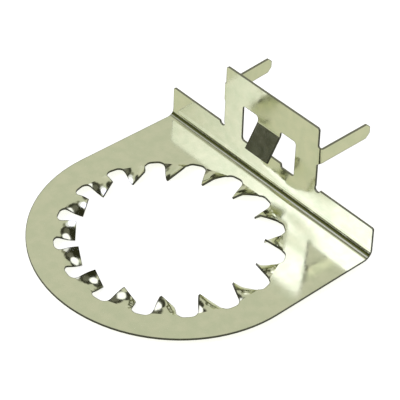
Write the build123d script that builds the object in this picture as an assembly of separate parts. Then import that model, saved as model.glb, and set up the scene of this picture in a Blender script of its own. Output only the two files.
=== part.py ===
from build123d import *
import os
from math import atan, cos, degrees, pi, radians, sin, sqrt, tan

# Grounding washer in millimetres: one sheet of plated metal, stamped, toothed and folded.
# The origin is the centre of the toothed hole, on the underside of the plate.
# +X runs along the fold, +Y from the hole to the upright, and +Z up from the plate.
# Heights on the upright are measured along it, from the top of the plate.

# Sheet
sheet_thickness = 0.15

# Toothed hole: each tooth leaves a short flat stub between two rounds, and then narrows and twists
tooth_tip_radius = 6.4
tooth_length = 1.5
tooth_count = 16
tooth_root_width = 1.5
tooth_tip_width = 1.3
tooth_root_flat = 0.27
tooth_root_fillet = 0.5
tooth_twist = 48.0
tooth_tip_shift = 0.11
tooth_ring_turn = 0.95
tooth_sections = 6

# Plate: a half-round front, and straight sides back to the fold
side_web = 2.15
back_web = 0.63
front_centre_y = 0.37

# Fold between the plate and the upright, a little past square
fold_angle = 92.6
fold_inner_radius = 0.5

# Flange: the low wall along the whole fold, a little narrower at its top
flange_height = 2.5
flange_end_taper = 0.05
flange_corner_radius = 0.15

# Frame: the taller part in the middle of the upright, also a little narrower at its top
frame_foot_width = 9.2
frame_side_taper = 0.1
frame_head_height = 2.43
frame_corner_radius = 0.2

# Round notches where the frame leaves the flange
notch_radius = 0.25
notch_bite = 0.05

# Window through the frame: it, its tab and its land sit a little to the left
window_x = -0.12
window_width = 5.25
window_height = 3.07
window_sill_height = 2.15
window_corner_radius = 0.25

# Contact tab: cut free inside the window, and bent forward below the window's top edge
tab_width = 2.2
tab_root_drop = 0.32
tab_end_gap = 0.13
tab_bend_angle = 32.0
tab_bend_radius = 0.35
tab_slot_radius = 0.25

# Land: the step on the window's sill that is left under the tab
land_side_margin = 0.25
land_height = 0.33
land_corner_radius = 0.13

# Solder legs: strips folded back just inside the sides of the frame, with a round beside each root
leg_width = 1.22
leg_inset = 0.03
leg_drop = 2.3
leg_reach = 4.7
leg_fold_angle = 88.4
leg_fold_radius = 0.15
leg_root_round = 0.35
leg_sections = 6
leg_tip_taper = 0.34
leg_tip_radius = 0.15

# The largest share of a wall that the round at its corner takes
round_share = 0.85

# The hole, the plate and the foot of the upright follow the teeth
hole_root_radius = tooth_tip_radius + tooth_length
stub_end_radius = hole_root_radius - tooth_root_flat
tooth_gap = 2 * pi * hole_root_radius / tooth_count - tooth_root_width
root_round = min(tooth_root_fillet, round_share * tooth_gap / 2)
root_round_start = sqrt((hole_root_radius - root_round) ** 2 - (tooth_root_width / 2 + root_round) ** 2)
plate_width = 2 * (hole_root_radius + side_web)
fold_set_back = fold_inner_radius * tan(radians(fold_angle / 2))
fold_start_y = hole_root_radius + back_web
upright_y = fold_start_y + fold_set_back

# The frame's height and the legs' follow the window
window_top = window_sill_height + window_height
frame_height = window_top + frame_head_height
leg_middle_height = frame_height - leg_drop

# Front face of the upright: local X along the fold, local Y up the sheet, local Z to the front
lean = radians(fold_angle - 90)
upright_plane = Plane(
    origin=(0, upright_y, sheet_thickness),
    x_dir=(1, 0, 0),
    z_dir=(0, -cos(lean), -sin(lean)),
)


def tooth_places(radius):
    """The places of the teeth, at a radius from the centre of the hole."""
    return PolarLocations(radius, tooth_count, start_angle=tooth_ring_turn)


def limited(radius, wall):
    """The radius, or as much of it as a wall of this length leaves room for."""
    return min(radius, round_share * wall)


def hole_outline():
    """The root circle, with a short flat stub left standing for each tooth, and a round at each side of it."""
    outline = Circle(hole_root_radius)
    for place in tooth_places(hole_root_radius):
        outline -= place * Rectangle(2 * tooth_length, tooth_root_width)
    corners = outline.vertices().filter_by(lambda v: v.center().length > stub_end_radius)
    outline = fillet(corners, root_round)
    for place in tooth_places(stub_end_radius - tooth_length / 2):
        outline += place * Rectangle(tooth_length, tooth_root_width + 2 * root_round)
    return outline


def plate():
    """The flat plate with its hole."""
    half = plate_width / 2
    front = CenterArc((0, front_centre_y), half, 180, 180)
    back = Polyline(front @ 1, (half, fold_start_y), (-half, fold_start_y), front @ 0)
    return extrude(make_face(front + back) - hole_outline(), sheet_thickness)


def tooth():
    """The tooth on the +X side, from its flat stub to its twisted tip."""
    sections = []
    for step in range(tooth_sections + 1):
        share = step / tooth_sections
        radius = stub_end_radius + (tooth_tip_radius - stub_end_radius) * share
        rise = max(radius - root_round_start, 0)
        rounds = 2 * (root_round - sqrt(root_round**2 - rise**2))
        width = tooth_root_width + (tooth_tip_width - tooth_root_width) * share + rounds
        twist = radians(tooth_twist * share)
        place = Plane(
            origin=(radius, tooth_tip_shift * share, sheet_thickness / 2),
            x_dir=(0, cos(twist), -sin(twist)),
            z_dir=(-1, 0, 0),
        )
        sections.append(place * Rectangle(width, sheet_thickness))
    return loft(sections)


def fold():
    """The bend that turns the plate up into the flange."""
    edge = Plane.XZ.offset(-fold_start_y) * Pos(0, sheet_thickness / 2)
    axis = Axis((0, fold_start_y, sheet_thickness + fold_inner_radius), (1, 0, 0))
    return revolve(edge * Rectangle(plate_width, sheet_thickness), axis, fold_angle)


def tapered_wall(foot_width, taper, height, corner_radius):
    """A wall of the upright, from the fold up to its two rounded top corners."""
    foot = foot_width / 2
    top = foot - taper
    corners = [(top, height), (foot, fold_set_back), (-foot, fold_set_back), (-top, height)]
    outline = make_face(Polyline(corners, close=True))
    return fillet(outline.vertices().group_by(Axis.Y)[-1], corner_radius)


def frame_side_x(height):
    """Where the frame's right side edge is, at a height."""
    share = (height - fold_set_back) / (frame_height - fold_set_back)
    return frame_foot_width / 2 - frame_side_taper * share


def window_outline():
    """The window, centred on X, less the tab's root above and the land below."""
    outline = Pos(0, window_sill_height + window_height / 2) * Rectangle(window_width, window_height)
    outline = fillet(outline.vertices(), window_corner_radius)

    root_middle = window_top - tab_root_drop / 2
    outline -= Pos(0, root_middle) * Rectangle(tab_width, tab_root_drop)
    slot_ends = outline.vertices().filter_by(lambda v: v.Y > root_middle and abs(v.X) < tab_width)
    outline = fillet(slot_ends, limited(tab_slot_radius, tab_root_drop))

    land_width = tab_width + 2 * land_side_margin
    outline -= Pos(0, window_sill_height + land_height / 2) * Rectangle(land_width, land_height)
    land_ends = outline.vertices().filter_by(
        lambda v: v.Y < window_sill_height + 1.5 * land_height and abs(v.X) < land_width / 2 + land_height
    )
    return fillet(land_ends, limited(land_corner_radius, land_height / 2))


def upright():
    """The flange and the frame in one plane, with the window and the notches at the frame's feet."""
    outline = tapered_wall(plate_width, flange_end_taper, flange_height, flange_corner_radius)
    outline += tapered_wall(frame_foot_width, frame_side_taper, frame_height, frame_corner_radius)
    outline -= Pos(window_x, 0) * window_outline()
    notch_x = frame_side_x(flange_height) + notch_radius - notch_bite
    for side in (-1, 1):
        outline -= Pos(side * notch_x, flange_height) * Circle(notch_radius)
    return extrude(upright_plane * outline, -sheet_thickness)


def tab():
    """The contact tab: a short bend at its root, then a flat tongue as long as the window left it."""
    root_height = window_top - tab_root_drop
    bend_length = (tab_bend_radius + sheet_thickness / 2) * radians(tab_bend_angle)
    length = root_height - bend_length - window_sill_height - land_height - tab_end_gap
    axis = Axis((0, root_height, tab_bend_radius), (-1, 0, 0))
    edge = Pos(0, root_height, -sheet_thickness / 2) * Rot(90, 0, 0)
    bend = revolve(edge * Rectangle(tab_width, sheet_thickness), axis, tab_bend_angle)
    tongue = extrude(Pos(0, root_height - length / 2) * Rectangle(tab_width, length), -sheet_thickness)
    return upright_plane * Pos(window_x, 0) * (bend + tongue.rotate(axis, tab_bend_angle))


def leg_fold():
    """The fold at a leg's root: as wide as the rounds beside it at first, then as wide as the leg."""
    outer_radius = leg_fold_radius + sheet_thickness
    middle_radius = leg_fold_radius + sheet_thickness / 2
    sections = []
    for step in range(leg_sections + 1):
        turn = radians(90 * step / leg_sections)
        width = leg_width + 2 * leg_root_round * (1 - sin(turn))
        angle = radians(leg_fold_angle) * (1 - cos(turn))
        place = Plane(
            origin=(middle_radius * sin(angle), 0, middle_radius * cos(angle) - outer_radius),
            x_dir=(0, 1, 0),
            z_dir=(cos(angle), 0, -sin(angle)),
        )
        sections.append(place * Rectangle(width, sheet_thickness))
    return loft(sections)


def legs():
    """Both legs: a fold, then a flat strip with a tapered tip, each square to its side of the frame."""
    outer_radius = leg_fold_radius + sheet_thickness
    length = leg_reach - outer_radius
    taper = limited(leg_tip_taper, leg_width / 2)
    outline = Pos(length / 2, 0) * Rectangle(length, leg_width)
    outline = chamfer(outline.vertices().group_by(Axis.X)[-1], taper)
    tip = outline.vertices().filter_by(lambda v: v.X > length / 2)
    strip = extrude(fillet(tip, leg_tip_radius), -sheet_thickness)
    folded = leg_fold() + strip.rotate(Axis((0, 0, -outer_radius), (0, 1, 0)), leg_fold_angle)

    side_x = frame_side_x(leg_middle_height) - leg_inset
    side_angle = degrees(atan(frame_side_taper / (frame_height - fold_set_back)))
    right = Pos(side_x, leg_middle_height) * Rot(0, 0, side_angle)
    left = Pos(-side_x, leg_middle_height) * Rot(0, 0, 180 - side_angle)
    return [upright_plane * root * folded for root in (right, left)]


def grounding_washer():
    """All the forms of the one sheet, joined."""
    one_tooth = tooth()
    teeth = [place * one_tooth for place in tooth_places(0)]
    return plate() + teeth + fold() + upright() + tab() + legs()


sheet = grounding_washer()
os.makedirs("parts", exist_ok=True)
export_step(sheet, "parts/grounding_washer.step")
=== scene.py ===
from math import cos, radians, sin

import bmesh
import bpy
from mathutils import Matrix, Vector
from mathutils.bvhtree import BVHTree


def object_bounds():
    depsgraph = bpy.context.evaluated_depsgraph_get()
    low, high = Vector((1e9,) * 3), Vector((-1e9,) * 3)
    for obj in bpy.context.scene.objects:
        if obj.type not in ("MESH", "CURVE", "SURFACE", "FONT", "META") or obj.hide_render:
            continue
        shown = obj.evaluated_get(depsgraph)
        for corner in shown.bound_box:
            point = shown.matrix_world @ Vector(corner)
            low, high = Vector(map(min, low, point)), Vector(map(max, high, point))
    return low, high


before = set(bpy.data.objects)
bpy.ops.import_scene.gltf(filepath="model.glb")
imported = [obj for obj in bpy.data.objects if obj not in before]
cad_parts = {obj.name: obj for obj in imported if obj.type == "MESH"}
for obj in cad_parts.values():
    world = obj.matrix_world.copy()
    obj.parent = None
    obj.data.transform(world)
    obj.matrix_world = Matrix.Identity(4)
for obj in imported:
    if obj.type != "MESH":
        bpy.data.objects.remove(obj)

# Grounding washer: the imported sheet-metal part with its plated finish, in a small white light tent.
# Everything is in metres. Azimuth 0 looks along +Y, as seen from the front of the part.
MM = 0.001
cad_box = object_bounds()
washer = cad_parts["grounding_washer"]
white = (1, 1, 1, 1)
black = (0, 0, 0, 1)

# Camera, at the photograph's perspective: where it looks, from where, and how far it is turned
view_target = Vector((-1.483, 4.025, 0.15)) * MM
view_azimuth = 45.589
view_elevation = 40.324
view_roll = 3.845
view_distance = 111.03 * MM
view_lens = 143.81
view_sensor = 36.0

# Sheet: a face of the metal has its other face one thickness behind it, and a cut edge has not
sheet_thickness = 0.15 * MM
face_depth = 1.6 * sheet_thickness
ray_lift = 0.002 * MM

# Fold between the plate and the upright: its inner side runs between these, over the plate's top
fold_start_y = 8.53 * MM
fold_end_y = 9.06 * MM
fold_top_z = sheet_thickness + 0.53 * MM

# Plating: clouds between two tints and two roughnesses, and slight waves
plating_tints = ((0.622, 0.648, 0.458, 1), (0.678, 0.683, 0.492, 1))
plating_tint_size = 0.8 * MM
plating_rough = (0.10, 0.16)
plating_rough_size = 0.6 * MM
wave_size = 1.6 * MM
wave_height = 0.004 * MM

# Shaded rim: painted shade, a greyer plating along the sheet's outline where a rounded edge would turn
rim_shade_width = 0.10 * MM
rim_shade_tint = (0.14, 0.14, 0.13, 1)

# Crease: painted shade, dark and matt, in the middle of the plating inside the fold
crease_shade_tint = (0.055, 0.06, 0.012, 1)
crease_rough = 0.32

# Shallow dent across the foot of the frame, too slight to be a shape of its own
dent_middle = Vector((2.6, 9.0, 2.6)) * MM
dent_radii = Vector((4.2, 1.5, 1.9)) * MM
dent_depth = 0.13 * MM

# Cut edge: clouds between two dark tints, and a paler one painted where it faces up, as painted light
# from above
edge_tints = ((0.05, 0.05, 0.035, 1), (0.12, 0.12, 0.09, 1))
edge_tint_size = 0.4 * MM
edge_lit_top_tint = (0.24, 0.24, 0.17, 1)
edge_rough = 0.45

# Floor: its own tint, and the light that the camera and the metal find on it
floor_tint = (0.82, 0.82, 0.81, 1)
floor_seen = (0.75, 0.75, 0.75, 1)
floor_mirrored = (0.36, 0.37, 0.26, 1)

# Tent around the part, which its metal mirrors
tent_radius = 1.0
wall_light = (0.765, 0.775, 0.71, 1)
horizon_light = (0.87, 0.88, 0.81, 1)

# What the tent's wall holds, in the order that it is laid on: its azimuth and elevation, the angle from
# its middle to the middle of its soft edge, the width of that edge, all in degrees, and its light
tent_zones = [
    ("dim front", -2.0, -22.0, 48.0, 8.0, (0.18, 0.18, 0.16)),
    ("dark front", -29.0, 4.0, 13.0, 4.0, (0.088, 0.09, 0.074)),
    ("dark corner", -68.0, 13.0, 16.0, 5.0, (0.055, 0.055, 0.04)),
    ("dark ceiling", 105.0, 82.0, 36.0, 10.0, (0.05, 0.05, 0.036)),
    ("dark left", 50.0, 60.0, 34.0, 8.0, (0.034, 0.035, 0.02)),
    ("dark right", 152.0, 37.5, 22.0, 6.0, (0.06, 0.06, 0.047)),
    ("dim zenith", 0.0, 90.0, 15.0, 10.0, (0.19, 0.19, 0.168)),
    ("dim corner", -74.0, 55.0, 9.0, 6.0, (0.3, 0.3, 0.25)),
    ("high screen", -44.0, 53.5, 11.5, 6.0, (1.15, 1.15, 1.4)),
    ("right lamp", 137.5, 58.0, 18.5, 7.0, (1.75, 1.75, 2.1)),
    ("left screen", -29.0, 39.5, 15.5, 8.0, (2.0, 2.0, 2.85)),
    ("left lamp", -27.0, 43.0, 11.5, 4.0, (3.0, 3.0, 4.7)),
]

# Even light in the tent, and the large soft lamp that gives the faint shadow
room_light = (0.42, 0.42, 0.42, 1)
lamp_azimuth = -22.9
lamp_elevation = 42.2
lamp_distance = 0.8
lamp_width = 0.5
lamp_power = 1.5


def direction(azimuth, elevation):
    """The way from the part towards an azimuth and an elevation in degrees."""
    a, e = radians(azimuth), radians(elevation)
    return Vector((sin(a) * cos(e), -cos(a) * cos(e), sin(e)))


def facing_back(way):
    """The turn of a camera or lamp that looks back along this way."""
    return way.to_track_quat("Z", "Y").to_matrix().to_4x4()


def place_object(name, data):
    """A new object in the scene."""
    made = bpy.data.objects.new(name, data)
    bpy.context.scene.collection.objects.link(made)
    return made


def new_material(name):
    """An empty node material, and its output node."""
    material = bpy.data.materials.new(name)
    material.use_nodes = True
    material.node_tree.nodes.clear()
    return material, material.node_tree.nodes.new("ShaderNodeOutputMaterial")


def add(tree, kind, inputs=None, **settings):
    """A new node with its settings. An input is a value, or the output of another node."""
    made = tree.nodes.new("ShaderNode" + kind)
    for name, value in settings.items():
        setattr(made, name, value)
    for name, value in (inputs or {}).items():
        if isinstance(value, bpy.types.NodeSocket):
            tree.links.new(value, made.inputs[name])
        else:
            made.inputs[name].default_value = value
    return made


def soft_step(tree, value, low, high, to_low=0.0, to_high=1.0):
    """The value's smooth change from to_low to to_high, between low and high."""
    step = add(
        tree,
        "MapRange",
        {"Value": value, "From Min": low, "From Max": high, "To Min": to_low, "To Max": to_high},
        interpolation_type="SMOOTHSTEP",
    )
    return step.outputs["Result"]


def mix_tint(tree, share, first, second):
    """The first tint, with this share of the second."""
    made = add(tree, "Mix", {"Factor": share, "A": first, "B": second}, data_type="RGBA")
    return made.outputs["Result"]


def calculate(tree, operation, first, second):
    """The result of a sum on two numbers."""
    return add(tree, "Math", {0: first, 1: second}, operation=operation).outputs[0]


def likeness(tree, first, second):
    """How nearly two ways of length 1 are the same, up to 1."""
    return add(tree, "VectorMath", {0: first, 1: second}, operation="DOT_PRODUCT").outputs["Value"]


def cloud(tree, size, detail=2.0):
    """Soft random spots of about this size in metres, from 0 to 1."""
    place = add(tree, "TexCoord").outputs["Object"]
    return add(tree, "TexNoise", {"Vector": place, "Scale": 1 / size, "Detail": detail}).outputs["Fac"]


def camera():
    """The camera of the photograph."""
    data = bpy.data.cameras.new("camera")
    data.lens = view_lens
    data.sensor_width = view_sensor
    data.clip_start = 1 * MM
    data.clip_end = 10
    made = place_object("camera", data)
    back = direction(view_azimuth, view_elevation)
    turn = facing_back(back) @ Matrix.Rotation(radians(view_roll), 4, "Z")
    made.matrix_world = Matrix.Translation(view_target + view_distance * back) @ turn
    bpy.context.scene.camera = made


def frame_dent(tree):
    """The depth of the shallow dent across the foot of the frame, in metres."""
    place = add(tree, "TexCoord").outputs["Object"]
    place = add(tree, "VectorMath", {0: place, 1: dent_middle}, operation="SUBTRACT").outputs["Vector"]
    place = add(tree, "VectorMath", {0: place, 1: dent_radii}, operation="DIVIDE").outputs["Vector"]
    away = add(tree, "VectorMath", {0: place}, operation="LENGTH").outputs["Value"]
    return soft_step(tree, away, 0.0, 1.0, dent_depth, 0.0)


def rim_shade(tree):
    """The share of painted rim shade in the plating: it grows where a rounded edge would begin to turn.
    """
    eased = add(tree, "Bevel", {"Radius": rim_shade_width}, samples=8).outputs["Normal"]
    plain = add(tree, "TexCoord").outputs["Normal"]
    return soft_step(tree, likeness(tree, eased, plain), 0.93, 0.997, 1.0, 0.0)


def fold_crease_shade(tree):
    """The share of the crease's painted shade in the fold's plating: all in its middle, and none at its
    sides.
    """
    front = likeness(tree, add(tree, "TexCoord").outputs["Normal"], (0, -1, 0))
    risen = soft_step(tree, front, 0.46, 0.70)
    fallen = soft_step(tree, front, 0.84, 0.93, 1.0, 0.0)
    return calculate(tree, "MULTIPLY", risen, fallen)


def plating(name, crease=None):
    """Bright plating with a faint yellow-green cast and painted shade along its rim, which may have a
    crease's share of painted shade in it.
    """
    material, output = new_material(name)
    tree = material.node_tree
    tint_share = soft_step(tree, cloud(tree, plating_tint_size, 4), 0.3, 0.7)
    tint = mix_tint(tree, tint_share, *plating_tints)
    # Painted shade: greyer plating along the rim, where a rounded edge would turn
    tint = mix_tint(tree, rim_shade(tree), tint, rim_shade_tint)
    rough = soft_step(tree, cloud(tree, plating_rough_size, 3), 0.3, 0.7, *plating_rough)
    if crease:
        # Painted shade: the crease's dark tint in the middle of the fold
        dark = crease(tree)
        tint = mix_tint(tree, dark, tint, crease_shade_tint)
        rough = add(tree, "Mix", {"Factor": dark, "A": rough, "B": crease_rough}).outputs["Result"]
    waves = calculate(tree, "MULTIPLY", cloud(tree, wave_size), wave_height)
    height = calculate(tree, "SUBTRACT", waves, frame_dent(tree))
    uneven = add(tree, "Bump", {"Height": height, "Distance": 1.0, "Strength": 1.0})
    shader = add(
        tree,
        "BsdfPrincipled",
        {"Base Color": tint, "Metallic": 1.0, "Roughness": rough, "Normal": uneven.outputs["Normal"]},
    )
    tree.links.new(shader.outputs["BSDF"], output.inputs["Surface"])
    return material


def cut_edge():
    """The sheared edge of the sheet: darker and matt, with painted light making it paler where it faces
    up.
    """
    material, output = new_material("cut_edge")
    tree = material.node_tree
    tint = mix_tint(tree, cloud(tree, edge_tint_size), *edge_tints)
    height = add(tree, "SeparateXYZ", {"Vector": add(tree, "TexCoord").outputs["Normal"]}).outputs["Z"]
    # Painted light: the cut edge is paler where it faces up
    tint = mix_tint(tree, soft_step(tree, height, 0.3, 0.9), tint, edge_lit_top_tint)
    shader = add(tree, "BsdfPrincipled", {"Base Color": tint, "Metallic": 1.0, "Roughness": edge_rough})
    tree.links.new(shader.outputs["BSDF"], output.inputs["Surface"])
    return material


def in_fold(face):
    """Whether a face is on the inner side of the fold."""
    place, way = face.center, face.normal
    inward = way.z - way.y > 0.5 and abs(way.x) < 0.1
    return inward and fold_start_y < place.y < fold_end_y and sheet_thickness < place.z < fold_top_z


def finish_washer():
    """Gives the plated faces, the cut edges and the inside of the fold their own materials."""
    mesh = washer.data
    mesh.materials.clear()
    mesh.materials.append(plating("plated_sheet"))
    mesh.materials.append(cut_edge())
    mesh.materials.append(plating("plated_fold", fold_crease_shade))
    shape = bmesh.new()
    shape.from_mesh(mesh)
    tree = BVHTree.FromBMesh(shape)
    shape.free()
    for face in mesh.polygons:
        start = face.center - ray_lift * face.normal
        other_face = tree.ray_cast(start, -face.normal, face_depth)[0]
        face.material_index = 1 if other_face is None else 2 if in_fold(face) else 0


def seen_light(tree, plain, mirrored, unseen=black):
    """Light that the camera sees, that metal and glass show, and that all other rays meet."""
    rays = add(tree, "LightPath").outputs
    either = calculate(tree, "MAXIMUM", rays["Is Glossy Ray"], rays["Is Transmission Ray"])
    light = mix_tint(tree, either, unseen, mirrored)
    return mix_tint(tree, rays["Is Camera Ray"], light, plain)


def floor():
    """A pale table that keeps the part's soft shadow."""
    half = 0.98 * tent_radius
    z = cad_box[0].z
    corners = [(-half, -half, z), (half, -half, z), (half, half, z), (-half, half, z)]
    mesh = bpy.data.meshes.new("floor")
    mesh.from_pydata(corners, [], [(0, 1, 2, 3)])
    made = place_object("floor", mesh)

    material, output = new_material("floor")
    tree = material.node_tree
    matt = add(tree, "BsdfDiffuse", {"Color": floor_tint})
    glow = add(tree, "Emission", {"Color": seen_light(tree, floor_seen, floor_mirrored)})
    both = add(tree, "AddShader", {0: matt.outputs["BSDF"], 1: glow.outputs["Emission"]})
    tree.links.new(both.outputs["Shader"], output.inputs["Surface"])
    mesh.materials.append(material)


def tent():
    """The light tent, which only the mirroring metal sees."""
    mesh = bpy.data.meshes.new("tent")
    shape = bmesh.new()
    bmesh.ops.create_icosphere(shape, subdivisions=5, radius=tent_radius)
    shape.to_mesh(mesh)
    shape.free()
    made = place_object("tent", mesh)
    made.visible_camera = made.visible_diffuse = made.visible_transmission = made.visible_shadow = False

    material, output = new_material("tent")
    material.cycles.emission_sampling = "NONE"
    tree = material.node_tree
    place = add(tree, "TexCoord").outputs["Object"]
    way = add(tree, "VectorMath", {0: place}, operation="NORMALIZE").outputs["Vector"]
    height = add(tree, "SeparateXYZ", {"Vector": way}).outputs["Z"]
    light = mix_tint(tree, soft_step(tree, height, 0.0, 0.5), horizon_light, wall_light)
    for _, azimuth, elevation, reach, edge, level in tent_zones:
        facing = likeness(tree, way, direction(azimuth, elevation))
        outer = cos(radians(reach + edge / 2))
        inner = cos(radians(reach - edge / 2))
        light = mix_tint(tree, soft_step(tree, facing, outer, inner), light, (*level, 1))
    glow = add(tree, "Emission", {"Color": light})
    tree.links.new(glow.outputs["Emission"], output.inputs["Surface"])
    mesh.materials.append(material)


def studio_light():
    """The tent's even light, and the large soft lamp."""
    world = bpy.data.worlds.new("tent_light")
    world.use_nodes = True
    sky = world.node_tree.nodes["Background"]
    light = seen_light(world.node_tree, white, white, room_light)
    world.node_tree.links.new(light, sky.inputs["Color"])
    bpy.context.scene.world = world

    data = bpy.data.lights.new("lamp", "AREA")
    data.shape = "DISK"
    data.size = lamp_width
    data.energy = lamp_power
    lamp = place_object("lamp", data)
    way = direction(lamp_azimuth, lamp_elevation)
    lamp.matrix_world = Matrix.Translation(lamp_distance * way) @ facing_back(way)
    lamp.visible_glossy = False


camera()
finish_washer()
floor()
tent()
studio_light()
bpy.context.scene.view_settings.view_transform = "Standard"
